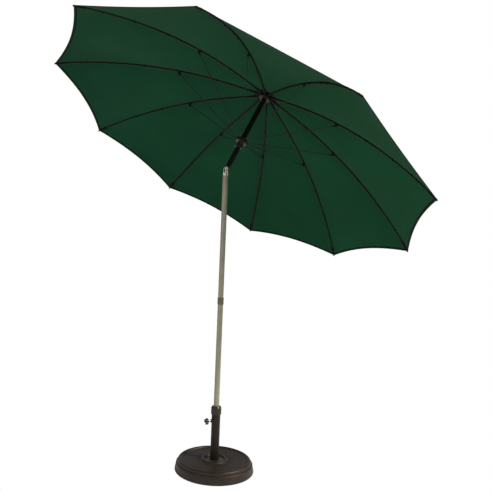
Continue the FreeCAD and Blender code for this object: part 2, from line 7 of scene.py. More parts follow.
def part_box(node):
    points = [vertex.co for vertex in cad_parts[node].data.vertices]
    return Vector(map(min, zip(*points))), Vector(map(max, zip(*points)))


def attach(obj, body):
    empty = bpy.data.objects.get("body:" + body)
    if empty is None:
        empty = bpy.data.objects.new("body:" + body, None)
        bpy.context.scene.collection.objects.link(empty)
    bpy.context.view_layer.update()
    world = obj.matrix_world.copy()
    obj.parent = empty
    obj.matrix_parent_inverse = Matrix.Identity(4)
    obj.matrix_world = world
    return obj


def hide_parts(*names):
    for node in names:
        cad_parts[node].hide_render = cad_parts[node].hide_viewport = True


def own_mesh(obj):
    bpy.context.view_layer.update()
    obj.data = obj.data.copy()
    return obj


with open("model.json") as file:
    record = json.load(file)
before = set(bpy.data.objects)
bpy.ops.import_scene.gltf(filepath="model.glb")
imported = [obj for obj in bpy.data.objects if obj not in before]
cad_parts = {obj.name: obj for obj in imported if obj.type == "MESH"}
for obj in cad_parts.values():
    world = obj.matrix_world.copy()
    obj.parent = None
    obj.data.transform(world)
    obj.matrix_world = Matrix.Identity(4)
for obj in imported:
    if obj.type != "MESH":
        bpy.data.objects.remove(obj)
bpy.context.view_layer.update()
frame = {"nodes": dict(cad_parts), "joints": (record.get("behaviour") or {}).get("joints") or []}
joints = {j["name"]: j for j in frame["joints"]}
mm = 0.001


# where the head's own frame sits: origin between the rib hinges, z along the head's tube,
# x the way it leans
ribJoints = [joints[name] for name in sorted(joints) if name.startswith("rib_hinge_")]
ribNumbers = [j["name"][-2:] for j in ribJoints]
crown = sum((Vector(j["pos_m"]) for j in ribJoints), Vector()) / len(ribJoints)
headUp = -Vector(joints["runner_slide"]["axis"]).normalized()
headSide = Vector(joints["tilt"]["axis"]).normalized()
headLean = headSide.cross(headUp)
headFrame = Matrix.Translation(crown) @ Matrix((headLean, headSide, headUp)).transposed().to_4x4()
hingeRadius = (Vector(ribJoints[0]["pos_m"]) - crown).length


def ribAngle(joint):
    local = headFrame.inverted() @ Vector(joint["pos_m"])
    return math.atan2(local.y, local.x)


ribAngles = [ribAngle(j) for j in ribJoints]
ribStep = 2 * math.pi / len(ribAngles)


# materials: small tools

def linear(hexColour):
    def channel(value):
        return value / 12.92 if value <= 0.04045 else ((value + 0.055) / 1.055) ** 2.4
    return tuple(channel(int(hexColour[i:i + 2], 16) / 255) for i in (1, 3, 5)) + (1.0,)


def addNode(tree, kind, settings=None, links=None):
    # settings go to the node's own options or, by name or number, to its sockets;
    # links are socket: output
    node = tree.nodes.new("ShaderNode" + kind)
    for key, value in (settings or {}).items():
        if isinstance(key, str) and hasattr(node, key):
            setattr(node, key, value)
        else:
            node.inputs[key].default_value = value
    for key, output in (links or {}).items():
        tree.links.new(output, node.inputs[key])
    return node


def newMaterial(name, shader):
    material = bpy.data.materials.new(name)
    material.use_nodes = True
    tree = material.node_tree
    tree.nodes.clear()
    principled = addNode(tree, "BsdfPrincipled", shader)
    output = addNode(tree, "OutputMaterial", links={"Surface": principled.outputs[0]})
    return material, tree, principled, output


def coordinates(tree, which):
    return addNode(tree, "TexCoord").outputs[which]


def mixColours(tree, factor, first, second):
    mix = addNode(tree, "Mix", {"data_type": "RGBA"}, {0: factor})
    for socket, colour in ((6, first), (7, second)):
        if isinstance(colour, str):
            mix.inputs[socket].default_value = linear(colour)
        else:
            tree.links.new(colour, mix.inputs[socket])
    return mix.outputs[2]


def mapRange(tree, value, low, high, newLow, newHigh):
    limits = {1: low, 2: high, 3: newLow, 4: newHigh}
    return addNode(tree, "MapRange", limits, {0: value}).outputs[0]


def noiseAt(tree, place, sizeMm, detail=3.0):
    # noise whose blobs are about sizeMm across
    settings = {"Scale": 1000 / sizeMm / 2, "Detail": detail, "Roughness": 0.55}
    return addNode(tree, "TexNoise", settings, {"Vector": place}).outputs[0]


def mottle(tree, principled, noise, low, high, deep, light):
    # the colour wanders between two shades, in step with the noise
    share = mapRange(tree, noise, low, high, 0.0, 1.0)
    tree.links.new(mixColours(tree, share, deep, light), principled.inputs["Base Color"])


def varyRoughness(tree, principled, noise, low, high):
    rub = mapRange(tree, noise, 0.3, 0.7, low, high)
    tree.links.new(rub, principled.inputs["Roughness"])


def addBump(tree, principled, height, depthMm, strength, under=None):
    settings = {"Strength": strength, "Distance": depthMm * mm}
    bump = addNode(tree, "Bump", settings, {"Height": height})
    if under is not None:
        tree.links.new(under, bump.inputs["Normal"])
    tree.links.new(bump.outputs[0], principled.inputs["Normal"])


def addMath(tree, operation, *values):
    links = dict(enumerate(values))
    return addNode(tree, "Math", {"operation": operation}, links).outputs[0]


def wovenHeight(tree, flat, threadMm):
    # warp and weft as two crossed sets of rounded threads
    settings = {"operation": "SCALE", "Scale": math.pi / (threadMm * mm)}
    scaled = addNode(tree, "VectorMath", settings, {0: flat})
    parts = addNode(tree, "SeparateXYZ", links={0: scaled.outputs[0]})
    warp, weft = (addMath(tree, "SINE", parts.outputs[i]) for i in (0, 1))
    return addMath(tree, "ABSOLUTE", addMath(tree, "MULTIPLY", warp, weft))


# materials: what each finish is

clothLook = {
    "shade": "#143a2c",        # deep bottle green where the dye is densest
    "sunny": "#194936",
    "glow": "#37935f",         # light that comes through the cloth
    "threadMm": 1.6,           # the real thread is about 0.35 mm, drawn coarser so that it shows
    "seeThrough": 0.30,
}


def polyesterCloth(name, look):
    # solution-dyed polyester, plain weave: dull, a little sheen at low angles, and light
    # comes through it
    material, tree, principled, output = newMaterial(name, {
        "Roughness": 0.9, "IOR": 1.5, "Metallic": 0.0, "Sheen Weight": 0.02,
        "Sheen Roughness": 0.4, "Specular IOR Level": 0.08})
    flat = coordinates(tree, "UV")
    patches = noiseAt(tree, coordinates(tree, "Object"), 260, 2.0)
    threads = noiseAt(tree, flat, 9, 2.0)
    settings = {"operation": "MULTIPLY_ADD", 1: 0.35}
    tone = addNode(tree, "Math", settings, {0: threads, 2: patches}).outputs[0]
    mottle(tree, principled, tone, 0.42, 0.95, look["shade"], look["sunny"])
    addBump(tree, principled, wovenHeight(tree, flat, look["threadMm"]), 0.16, 0.6)
    glow = addNode(tree, "BsdfTranslucent", {"Color": linear(look["glow"])})
    mixed = addNode(tree, "MixShader", {0: look["seeThrough"]},
                    {1: principled.outputs[0], 2: glow.outputs[0]})
    tree.links.new(mixed.outputs[0], output.inputs["Surface"])
    return material


def wovenBlack(name, deep, worn, threadMm, roughness):
    # black polyester webbing or pack cloth: dull, coarse threads, slightly faded in patches
    material, tree, principled, _ = newMaterial(name, {
        "Roughness": roughness, "IOR": 1.5, "Sheen Weight": 0.03, "Specular IOR Level": 0.12})
    faded = noiseAt(tree, coordinates(tree, "Object"), 14)
    mottle(tree, principled, faded, 0.35, 0.75, deep, worn)
    woven = wovenHeight(tree, coordinates(tree, "UV"), threadMm)
    addBump(tree, principled, woven, 0.3, 0.8)
    return material


def powderCoat(name, deep, light, roughness):
    # polyester powder baked on steel: satin, fine orange peel, slightly mottled
    material, tree, principled, _ = newMaterial(name, {
        "IOR": 1.5, "Metallic": 0.35, "Specular IOR Level": 0.4})
    place = coordinates(tree, "Object")
    mottle(tree, principled, noiseAt(tree, place, 60, 4.0), 0.3, 0.7, deep, light)
    varyRoughness(tree, principled, noiseAt(tree, place, 12), roughness - 0.06, roughness + 0.08)
    addBump(tree, principled, noiseAt(tree, place, 1.4, 2.0), 0.05, 0.35)
    return material


def mouldedNylon(name, deep, light, roughness):
    # glass-filled nylon as it leaves a spark-eroded mould: black, satin, very fine grain
    material, tree, principled, _ = newMaterial(name, {"IOR": 1.53})
    place = coordinates(tree, "Object")
    mottle(tree, principled, noiseAt(tree, place, 20, 4.0), 0.35, 0.7, deep, light)
    varyRoughness(tree, principled, noiseAt(tree, place, 7), roughness - 0.05, roughness + 0.1)
    addBump(tree, principled, noiseAt(tree, place, 0.9, 2.0), 0.08, 0.5)
    return material


def platedMetal(name, deep, light, roughness, grainMm=3.0, depthMm=0.02, metallic=1.0):
    # zinc or nickel plate on steel or a die casting, or bare spring steel: pale, softly uneven
    material, tree, principled, _ = newMaterial(name, {"Metallic": metallic})
    place = coordinates(tree, "Object")
    mottle(tree, principled, noiseAt(tree, place, 9, 4.0), 0.35, 0.7, deep, light)
    varyRoughness(tree, principled, noiseAt(tree, place, 5), roughness - 0.06, roughness + 0.1)
    addBump(tree, principled, noiseAt(tree, place, grainMm, 2.0), depthMm, 0.5)
    return material


def castComposite(name, deep, light, rubbedAndHighlit):
    # resin and stone powder cast in a mould and painted dark bronze: satin, finely pitted,
    # and paler on its ridges, partly from rub wear and partly as a painted highlight
    material, tree, principled, _ = newMaterial(name, {
        "IOR": 1.5, "Metallic": 0.1, "Specular IOR Level": 0.4})
    place = coordinates(tree, "Object")
    share = mapRange(tree, noiseAt(tree, place, 35, 5.0), 0.35, 0.7, 0.0, 1.0)
    painted = mixColours(tree, share, deep, light)
    # the ridges' paler colour is partly rub wear and partly a painted highlight
    edge = addNode(tree, "NewGeometry").outputs["Pointiness"]
    wearAndHighlight = mapRange(tree, edge, 0.5, 0.56, 0.0, 0.55)
    tree.links.new(mixColours(tree, wearAndHighlight, painted, rubbedAndHighlit), principled.inputs["Base Color"])
    varyRoughness(tree, principled, noiseAt(tree, place, 18, 4.0), 0.38, 0.55)
    fine = addNode(tree, "Bump", {"Strength": 0.35, "Distance": 0.1 * mm},
                   {"Height": noiseAt(tree, place, 1.5)}).outputs[0]
    addBump(tree, principled, noiseAt(tree, place, 22, 2.0), 0.25, 0.4, fine)
    return material


# the hem and the seam ridges are the canopy's cloth doubled over; their darker colours are painted
# shade for the light that the doubled cloth holds back
hemLookPaintedShade = {**clothLook, "shade": "#08180e", "sunny": "#0b2214", "seeThrough": 0.05}
canopyCloth = polyesterCloth("canopyPolyester", clothLook)
hemClothPaintedShade = polyesterCloth("hemPolyester", hemLookPaintedShade)
ribWebbing = wovenBlack("blackWebbing", "#030403", "#070a08", 1.8, 0.85)
patchCloth = wovenBlack("blackPackCloth", "#050606", "#0c0e0e", 1.2, 0.75)
bronzePowder = powderCoat("bronzePowderCoat", "#857f70", "#989684", 0.36)
tubePowder = powderCoat("darkBronzePowderCoat", "#17110e", "#211a15", 0.45)
ferrulePowder = powderCoat("ferrulePowderCoat", "#5a5347", "#6c6759", 0.4)
blackPowder = powderCoat("blackPowderCoat", "#0c0a0a", "#151312", 0.42)
strutPowder = powderCoat("strutPowderCoat", "#090a09", "#131612", 0.42)
blackNylon = mouldedNylon("blackNylon", "#0d0d0d", "#171717", 0.42)
hubNylon = mouldedNylon("hubNylon", "#100e0d", "#1d1a18", 0.42)
zincPlate = platedMetal("zincPlate", "#9c9a94", "#c4c1ba", 0.32)
springSteel = platedMetal("springSteel", "#8d8d8b", "#b5b5b2", 0.25)
# near white and paler than nickel: the fork's colour holds a painted highlight in place of
# reflections
nickelWithPaintedHighlight = platedMetal("nickelWithPaintedHighlight", "#efede2", "#fbfaf5", 0.35,
                            grainMm=1.2, depthMm=0.05, metallic=0.55)
# the third colour is for the ridges: rub wear and a painted highlight
bronzeComposite = castComposite("castComposite", "#1b1410", "#291f19", "#43362d")
print("materials made")


# meshes: small tools

def makePiece(name, points, faces, material, uvs=None, smoothDegrees=35):
    mesh = bpy.data.meshes.new(name)
    mesh.from_pydata([tuple(p) for p in points], [], faces)
    if uvs is not None:
        layer = mesh.uv_layers.new(name="flat")
        for loop in mesh.loops:
            layer.data[loop.index].uv = uvs[loop.vertex_index]
    mesh.materials.append(material)
    mesh.validate()
    mesh.shade_smooth()
    mesh.set_sharp_from_angle(angle=math.radians(smoothDegrees))
    piece = bpy.data.objects.new(name, mesh)
    bpy.context.scene.collection.objects.link(piece)
    return piece


def gridFaces(rows, columns, closed=False):
    # quads over rows x columns points; closed joins the last column to the first
    faces = []
    for i in range(rows - 1):
        for j in range(columns if closed else columns - 1):
            k = (j + 1) % columns
            here, below = i * columns, (i + 1) * columns
            faces.append((here + j, below + j, below + k, here + k))
    return faces


def makeGrid(name, rows, material, uvRows=None, closed=False, caps=False,
             smoothDegrees=35):
    columns = len(rows[0])
    faces = gridFaces(len(rows), columns, closed)
    if caps:
        faces.append(tuple(range(columns)))
        faces.append(tuple(reversed(range((len(rows) - 1) * columns, len(rows) * columns))))
    points = [p for row in rows for p in row]
    uvs = [uv for row in uvRows for uv in row] if uvRows else None
    return makePiece(name, points, faces, material, uvs, smoothDegrees)


def addModifier(piece, kind, **settings):
    modifier = piece.modifiers.new(kind.title(), kind)
    for key, value in settings.items():
        setattr(modifier, key, value)


def thicken(piece, thickness, rim=True):
    addModifier(piece, "SOLIDIFY", thickness=thickness, offset=0.0, use_rim=rim)


def softenEdges(node, width):
    # rounds the edges of a CAD node and smooths its curved faces
    piece = frame["nodes"][node]
    addModifier(piece, "BEVEL", width=width, segments=3, limit_method="ANGLE",
                angle_limit=math.radians(40), harden_normals=True)
    piece.data.shade_smooth()
    piece.data.set_sharp_from_angle(angle=math.radians(35))


def finish(node, material):
    piece = frame["nodes"][node]
    piece.data.materials.clear()
    piece.data.materials.append(material)


# camera

view = {
    "place": (-1.511, -2.719, 1.2436),
    "heading": 27.94,          # degrees from +Y towards +X
    "rise": 0.64,
    "roll": 2.29,
    "lens": 38.76,
    "sensor": 36,
    "shift": (0.0687, 0.0092),
}


def makeCamera():
    heading, rise, roll = (math.radians(view[k]) for k in ("heading", "rise", "roll"))
    ahead = Vector((math.sin(heading) * math.cos(rise), math.cos(heading) * math.cos(rise),
                    math.sin(rise)))
    right = Vector((math.cos(heading), -math.sin(heading), 0))
    above = right.cross(ahead)
    rolledRight = right * math.cos(roll) + above * math.sin(roll)
    rolledUp = above * math.cos(roll) - right * math.sin(roll)
    data = bpy.data.cameras.new("camera")
    data.lens = view["lens"]
    data.sensor_width = view["sensor"]
    data.shift_x, data.shift_y = view["shift"]
    camera = bpy.data.objects.new("camera", data)
    camera.matrix_world = Matrix.Translation(view["place"]) @ Matrix(
        (rolledRight, rolledUp, -ahead)).transposed().to_4x4()
    bpy.context.scene.collection.objects.link(camera)
    bpy.context.scene.camera = camera


makeCamera()


# canopy

canopy = {
    "bracket": (0.531, -0.118),   # out from and below the rib hinges, on the rib's arc
    "tip": (1.181, -0.452),
    "lift": 7.4 * mm,             # rib's centre line to the middle of the cloth
    "tipLift": 3.4 * mm,          # the same at the tip, where the rib is a thinner rod
    "start": 0.040,               # the cloth's inner edge, from the head's axis
    "crownLift": 0.010,
    "crownReach": 0.110,
    "scallop": 0.030,
    "sag": 0.034,
    "thickness": 0.5 * mm,
    "rows": 72,
    "columns": 36,
    "pucker": 0.9 * mm,           # the cloth draws up in small waves beside each seam
    "puckerWave": 0.055,
    "puckerReach": 0.026,
    "puckerRise": 6,              # how fast the waves come in from the crown, and go at the hem
    "puckerFall": 12,
    "puckerHem": 0.2,             # what is left of them at the hem
    "normalStep": 0.004,
    "foldKeep": 0.975,            # how wide a panel stays when the ribs have come down
}


def arcThrough(a, b, c):
    # the middle of the circle through three points
    divisor = 2 * (a[0] * (b[1] - c[1]) + b[0] * (c[1] - a[1]) + c[0] * (a[1] - b[1]))
    aa, bb, cc = (p[0] ** 2 + p[1] ** 2 for p in (a, b, c))
    x = (aa * (b[1] - c[1]) + bb * (c[1] - a[1]) + cc * (a[1] - b[1])) / divisor
    z = (aa * (c[0] - b[0]) + bb * (a[0] - c[0]) + cc * (b[0] - a[0])) / divisor
    return x, z


arcX, arcZ = arcThrough((hingeRadius, 0), canopy["bracket"], canopy["tip"])
arcRadius = math.hypot(hingeRadius - arcX, arcZ)


def arcAngle(x, z):
    return math.atan2(x - arcX, z - arcZ)


hingeArc, tipArc = arcAngle(hingeRadius, 0), arcAngle(*canopy["tip"])
clothStart = hingeArc + (canopy["start"] - hingeRadius) / arcRadius
clothLength = (tipArc - clothStart) * arcRadius


def ribPoint(angle, lift=0.0):
    reach = arcRadius + lift
    return Vector((arcX + reach * math.sin(angle), 0, arcZ + reach * math.cos(angle)))


def clothLine(share, lift):
    towardsTip = max(0.0, (share - 0.5) / 0.5)
    height = canopy["lift"] + (canopy["tipLift"] - canopy["lift"]) * towardsTip ** 2
    point = ribPoint(clothStart + (tipArc - clothStart) * share, height + lift)
    inward = max(0.0, 1 - (point.x - canopy["start"]) / canopy["crownReach"])
    return point + Vector((0, 0, canopy["crownLift"] * inward ** 2))


def clothPoint(share, across, lift=0.0):
    # share runs from the hub to the hem, across from -0.5 to 0.5 of the way to the next rib
    way = abs(across)
    bow = 4 * way * (1 - way)
    at = share * (1 - canopy["scallop"] * bow)
    line = clothLine(at, lift)
    side = math.copysign(ribStep, across)
    radial = line.x * (1 - way + way * math.cos(side))
    lateral = line.x * way * math.sin(side)
    sag = canopy["sag"] * bow * math.sin(math.pi * share)
    away = abs(lateral) / canopy["puckerReach"]
    phase = 2 * math.pi * at * clothLength / canopy["puckerWave"]
    wave = math.sin(phase) * away * math.exp(1 - away)
    atHem = (1 - share) * canopy["puckerFall"] + canopy["puckerHem"]
    hush = min(1.0, at * canopy["puckerRise"]) * min(1.0, atHem)
    return Vector((radial, lateral, line.z - sag + canopy["pucker"] * wave * hush))


def clothNormal(share, across):
    step = canopy["normalStep"]
    low, high = max(share - step, 0.0), min(share + step, 1.0)
    left, right = max(across - step, -0.5), min(across + step, 0.5)
    along = clothPoint(high, across) - clothPoint(low, across)
    sideways = clothPoint(share, right) - clothPoint(share, left)
    return along.cross(sideways).normalized()


def angleOf(number):
    return ribAngles[ribNumbers.index(number)]


def turnedTo(number):
    return headFrame @ Matrix.Rotation(angleOf(number), 4, "Z")


def flatAt(share, across):
    # where a point of the panel lay on the flat cut, in metres
    point = clothPoint(share, across)
    out = math.hypot(point.y, abs(point.y) * math.tan(ribStep / 4))
    return (math.copysign(out, across), share * clothLength)


def rideOnRib(piece, number, narrows=True):
    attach(piece, "rib_" + number)
    if narrows:
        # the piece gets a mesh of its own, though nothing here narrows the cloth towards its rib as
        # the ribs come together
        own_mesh(piece)
    return piece


def makeClothStrip(name, number, shares, acrosses, lift, material):
    # a strip that lies on or under the cloth, with a point at each share and each across;
    # acrosses is a list, or a function that gives one for a share
    turn = turnedTo(number)
    rows, uvRows = [], []
    for share in shares:
        places = acrosses(share) if callable(acrosses) else acrosses
        rows.append([turn @ (clothPoint(share, a) + clothNormal(share, a) * lift) for a in places])
        uvRows.append([flatAt(share, a) for a in places])
    return makeGrid(name, rows, material, uvRows)


def spacedOut(low, high, count):
    return [low + (high - low) * i / (count - 1) for i in range(count)]


def widthAt(share, width):
    # how much of 'across' a width in metres takes at a share of the rib
    return width / max(clothLine(share, 0).x * math.sin(ribStep), 1e-6)


def makePanel(number):
    acrosses = spacedOut(-0.5, 0.5, canopy["columns"] + 1)
    shares = spacedOut(0.0, 1.0, canopy["rows"] + 1)
    panel = makeClothStrip("canopyPanel" + number, number, shares, acrosses, 0.0,
                           canopyCloth)
    thicken(panel, canopy["thickness"], rim=False)
    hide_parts("canopy_panel_" + number)
    return rideOnRib(panel, number)


hem = {
    "width": 0.016,
    "proud": 0.7 * mm,
    "pastEdge": 1.2 * mm,
    "slope": 0.12,             # share of its width in which it comes up from the cloth
    "root": 0.55,              # share of its height where it meets the cloth
    "columns": 44,
}


def makeHem(number):
    # the edge is turned over and sewn, so it is a flat loop round the cloth's edge
    turn = turnedTo(number)
    inner = 1 - hem["width"] / clothLength
    outer = 1 + hem["pastEdge"] / clothLength
    shoulder = inner + (1 - inner) * hem["slope"]
    section = [(inner, hem["root"]), (shoulder, 1.0), (1.0, 1.0), (outer, 0.0), (1.0, -1.0),
               (shoulder, -1.0), (inner, -hem["root"])]
    rows, uvRows = [], []
    for across in spacedOut(-0.5, 0.5, hem["columns"] + 1):
        row, uvRow = [], []
        for share, side in section:
            normal = clothNormal(min(share, 1.0), across)
            row.append(turn @ (clothPoint(share, across) + normal * side * hem["proud"]))
            uvRow.append((flatAt(1.0, across)[0], share * clothLength))
        rows.append(row)
        uvRows.append(uvRow)
    # the hem takes the darker cloth, whose colour is painted shade
    piece = makeGrid("hem" + number, rows, hemClothPaintedShade, uvRows, closed=True,
                     caps=True, smoothDegrees=60)
    return rideOnRib(piece, number)


seam = {
    "from": 0.03, "to": 0.985, "rows": 60,
    "topWidth": 0.012, "topLift": 0.55 * mm, "topThickness": 0.8 * mm,
    "tapeWidth": 0.0135, "tapeLift": -0.75 * mm, "tapeThickness": 0.5 * mm,
}
ridgePlaces = (-1, -0.8, -0.12, 0.12, 0.8, 1)      # where a strip's points lie over its half width
tapePlaces = (-1, -0.5, 0, 0.5, 1)


def placesOver(share, width, places):
    half = widthAt(share, width) / 2
    return [half * place for place in places]


def makeSeams(number):
    # the gores' join: a folded ridge of cloth above, and webbing below, against the rib
    shares = spacedOut(seam["from"], seam["to"], seam["rows"])
    # the ridge takes the darker cloth, whose colour is painted shade
    top = makeClothStrip("seamRidge" + number, number, shares,
                         lambda share: placesOver(share, seam["topWidth"], ridgePlaces),
                         seam["topLift"], hemClothPaintedShade)
    thicken(top, seam["topThickness"])
    below = makeClothStrip("ribTape" + number, number, shares,
                           lambda share: placesOver(share, seam["tapeWidth"], tapePlaces),
                           seam["tapeLift"], ribWebbing)
    thicken(below, seam["tapeThickness"])
    return [rideOnRib(top, number, False), rideOnRib(below, number, False)]


tie = {
    "shares": (0.22, 0.40, 0.58, 0.74, 0.88),
    "width": 0.009,
    "wall": 0.7 * mm,
    "gap": 0.3 * mm,
    "belowCloth": 0.4 * mm,
}
ribSize = {"tube": 4.5 * mm, "rod": 2.8 * mm, "tubeShare": 0.64}
loopPoints = 24                # in one ring of cloth round a rib


def barRadius(angle):
    tubeEnd = hingeArc + (tipArc - hingeArc) * ribSize["tubeShare"]
    return ribSize["tube"] if angle < tubeEnd else ribSize["rod"]


def loopRound(angle, radius, stretchUp):
    # a ring of points round the rib at an angle of its arc, stretched up to the cloth
    centre = ribPoint(angle)
    outwards = Vector((math.sin(angle), 0, math.cos(angle)))
    ring = []
    for i in range(loopPoints):
        turn = 2 * math.pi * i / loopPoints
        up = math.cos(turn) * radius
        height = max(up, 0) * stretchUp + min(up, 0)
        ring.append(centre + outwards * height + Vector((0, math.sin(turn) * radius, 0)))
    return ring


def makeTies(number):
    # short bands of webbing hold the rib against the seam
    turn = turnedTo(number)
    points, faces = [], []
    for share in tie["shares"]:
        middle = clothStart + (tipArc - clothStart) * share
        inner = barRadius(middle) + tie["gap"]
        outer = inner + tie["wall"]
        toCloth = (clothPoint(share, 0.0) - ribPoint(middle)).length - tie["belowCloth"]
        stretch = max(outer, toCloth) / outer
        half = tie["width"] / 2 / arcRadius
        section = [(-half, inner), (-half, outer), (half, outer), (half, inner)]
        first = len(points)
        for offset, radius in section:
            points += [turn @ p for p in loopRound(middle + offset, radius, stretch)]
        for i in range(len(section)):
            here = first + i * loopPoints
            following = first + (i + 1) % len(section) * loopPoints
            for j in range(loopPoints):
                k = (j + 1) % loopPoints
                faces.append((here + j, here + k, following + k, following + j))
    piece = makePiece("ribTies" + number, points, faces, ribWebbing,
                      [(p.x, p.y) for p in points], 40)
    return rideOnRib(piece, number, False)


pocket = {
    "length": 0.058,
    "wall": 1.0 * mm,
    "play": 0.3 * mm,
    "pastTip": 4.5 * mm,
    "rings": 12,
    "closesFrom": 0.93,        # share of its length where its end draws in, and to how much
    "closesTo": 0.72,
    "stretch": 1.25,
    "flatWidth": 0.03,
    "mouthWidth": 0.030,
    "tipWidth": 0.011,
    "patchLift": -1.35 * mm,
    "patchReach": 1.05,        # the patch's length over the sleeve's
    "patchThickness": 0.6 * mm,
}


def makeTipPocket(number):
    # a sleeve of pack cloth that the rib's end is pushed into, on a tapered patch sewn
    # under the corner
    turn = turnedTo(number)
    first = tipArc - pocket["length"] / arcRadius
    last = tipArc + pocket["pastTip"] / arcRadius
    rings, uvRows = [], []
    for i, share in enumerate(spacedOut(0.0, 1.0, pocket["rings"])):
        radius = ribSize["rod"] + pocket["play"] + pocket["wall"] * (1.5 - 0.5 * share)
        if share > pocket["closesFrom"]:
            radius *= pocket["closesTo"]
        ring = loopRound(first + (last - first) * share, radius, pocket["stretch"])
        rings.append([turn @ p for p in ring])
        along = i / pocket["rings"] * pocket["length"]
        uvRows.append([(j / loopPoints * pocket["flatWidth"], along) for j in range(loopPoints)])
    sleeve = makeGrid("tipPocket" + number, rings, patchCloth, uvRows,
                      closed=True, caps=True, smoothDegrees=50)
    patchStart = 1 - pocket["length"] * pocket["patchReach"] / clothLength

    def patchPlaces(share):
        done = (share - patchStart) / (1 - patchStart)
        width = pocket["mouthWidth"] * (1 - done) + pocket["tipWidth"] * done
        return placesOver(share, width, tapePlaces)

    under = makeClothStrip("tipPatch" + number, number, spacedOut(patchStart, 1.0, 10),
                           patchPlaces, pocket["patchLift"], patchCloth)
    thicken(under, pocket["patchThickness"])
    return [rideOnRib(sleeve, number, False), rideOnRib(under, number, False)]


crownPatch = {
    "radius": 0.078,
    "under": -1.2 * mm,
    "underThickness": 0.5 * mm,
    "over": 1.2 * mm,
    "overThickness": 0.7 * mm,
    "inner": 0.0235,           # its hole, under the finial's flange
    "innerHeight": 12.6 * mm,
    "collar": 0.4,             # how far inside the cloth's start it goes, on the scale of its rows
}
lastShare = (crownPatch["radius"] - canopy["start"]) / clothLength


def makeUnderPatch(number):
    # the reinforcement sewn inside the crown, one tenth of it on each rib
    piece = makeClothStrip("crownLining" + number, number, spacedOut(0.0, lastShare, 8),
                           spacedOut(-0.5, 0.5, 9), crownPatch["under"], patchCloth)
    thicken(piece, crownPatch["underThickness"])
    return rideOnRib(piece, number)


def makeTopPatch():
    # the round patch over the crown, held down by the finial
    rows, uvRows = [], []
    innerHeight = crownPatch["innerHeight"] - crownPatch["over"]
    for share in spacedOut(-crownPatch["collar"], 1.0, 22):
        row, uvRow = [], []
        inwards = min(1.0, max(0.0, -share / crownPatch["collar"]))
        ease = inwards * inwards * (3 - 2 * inwards)
        scale = 1 - inwards * (1 - crownPatch["inner"] / canopy["start"])
        for angle in ribAngles:
            for across in spacedOut(-0.5, 0.5, 13)[:-1]:
                point = clothPoint(lastShare * max(share, 0.0), across)
                height = point.z * (1 - ease) + innerHeight * ease
                point = Vector((point.x * scale, point.y * scale, height))
                over = Vector((0, 0, crownPatch["over"]))
                local = Matrix.Rotation(angle, 4, "Z") @ (point + over)
                row.append(headFrame @ local)
                uvRow.append((local.x, local.y))
        rows.append(row)
        uvRows.append(uvRow)
    piece = makeGrid("crownPatch", rows, patchCloth, uvRows, closed=True)
    thicken(piece, crownPatch["overThickness"])
    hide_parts("crown_patch")
    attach(piece, "head")


for number in ribNumbers:
    panel = makePanel(number)
    edge = makeHem(number)
    seams = makeSeams(number)
    makeTies(number)
    corner = makeTipPocket(number)
    lining = makeUnderPatch(number)
makeTopPatch()
print("canopy made")


# base

base = {
    "skirtBottom": 0.230,
    "skirtTop": 0.223,
    "skirtHeight": 0.048,
    "edge": 0.006,                       # the skirt's rounded top edge, and its foot
    "foot": 0.005,
    "rim": (0.2015, 0.0115, 0.0555),     # middle radius, section radius and its centre's height
    "boss": (0.068, 0.010, 0.059),
    "flat": 0.060,
    "weaveFrom": 0.083,
    "weaveTo": 0.187,
    "strand": 0.0095,                    # width of one ring of cane
    "spokes": 60,
    "relief": 2.4 * mm,
    "weaveDrop": 1.2 * mm,               # the weave's ground lies this far below the flat
    "lip": 1 * mm,                       # beside the weave, and how far it is below the flat
    "lipDrop": 0.3 * mm,
    "strandRound": 0.6,
    "dip": 0.25,                         # height of a strand where it goes under, over its full one
    "stake": 0.9,                        # height of a spoke over a strand's
    "pointsPerStrand": 8,
    "pointsPerSpoke": 8,
    "tube": 0.0254,
}


def roundOver(centreR, centreZ, radius, fromDegrees, toDegrees, steps):
    # points of an arc in the section, degrees from outwards towards up
    turns = [math.radians(a) for a in spacedOut(fromDegrees, toDegrees, steps)]
    return [(centreR + radius * math.cos(t), centreZ + radius * math.sin(t)) for t in turns]


def baseOutline():
    # the section from the underside's middle, out and over the rim, to the tube
    rimR, rimSize, rimZ = base["rim"]
    bossR, bossSize, bossZ = base["boss"]
    rimFoot = math.degrees(math.asin((base["flat"] - rimZ) / rimSize))
    bossFoot = math.degrees(math.asin((base["flat"] - bossZ) / bossSize))
    bottom, top, edge, foot = (base[k] for k in ("skirtBottom", "skirtTop", "edge", "foot"))
    skirt, flat, tube = (base[k] for k in ("skirtHeight", "flat", "tube"))
    outer, inner = base["weaveTo"], base["weaveFrom"]
    weaveRows = int((outer - inner) / base["strand"] * base["pointsPerStrand"])
    return [
        (0.0, 0.0), (bottom - edge, 0.0),
        *roundOver(bottom - foot, foot + 0.5 * mm, foot, -80, 5, 7),
        *roundOver(top - edge, skirt - edge, edge, 8, 90, 9),
        (rimR + rimSize + 2.2 * mm, skirt), (rimR + rimSize + 0.4 * mm, skirt + 1 * mm),
        *roundOver(rimR, rimZ, rimSize, 0, 180 - rimFoot, 22),
        (outer + base["lip"], flat - base["lipDrop"]),
        *[(radius, flat - base["weaveDrop"]) for radius in spacedOut(outer, inner, weaveRows)],
        (inner - base["lip"], flat - base["lipDrop"]),
        *roundOver(bossR, bossZ, bossSize, bossFoot, 180 - bossFoot, 18),
        (tube + 4 * mm, flat), (tube + 0.2 * mm, flat + 1.5 * mm),
    ]


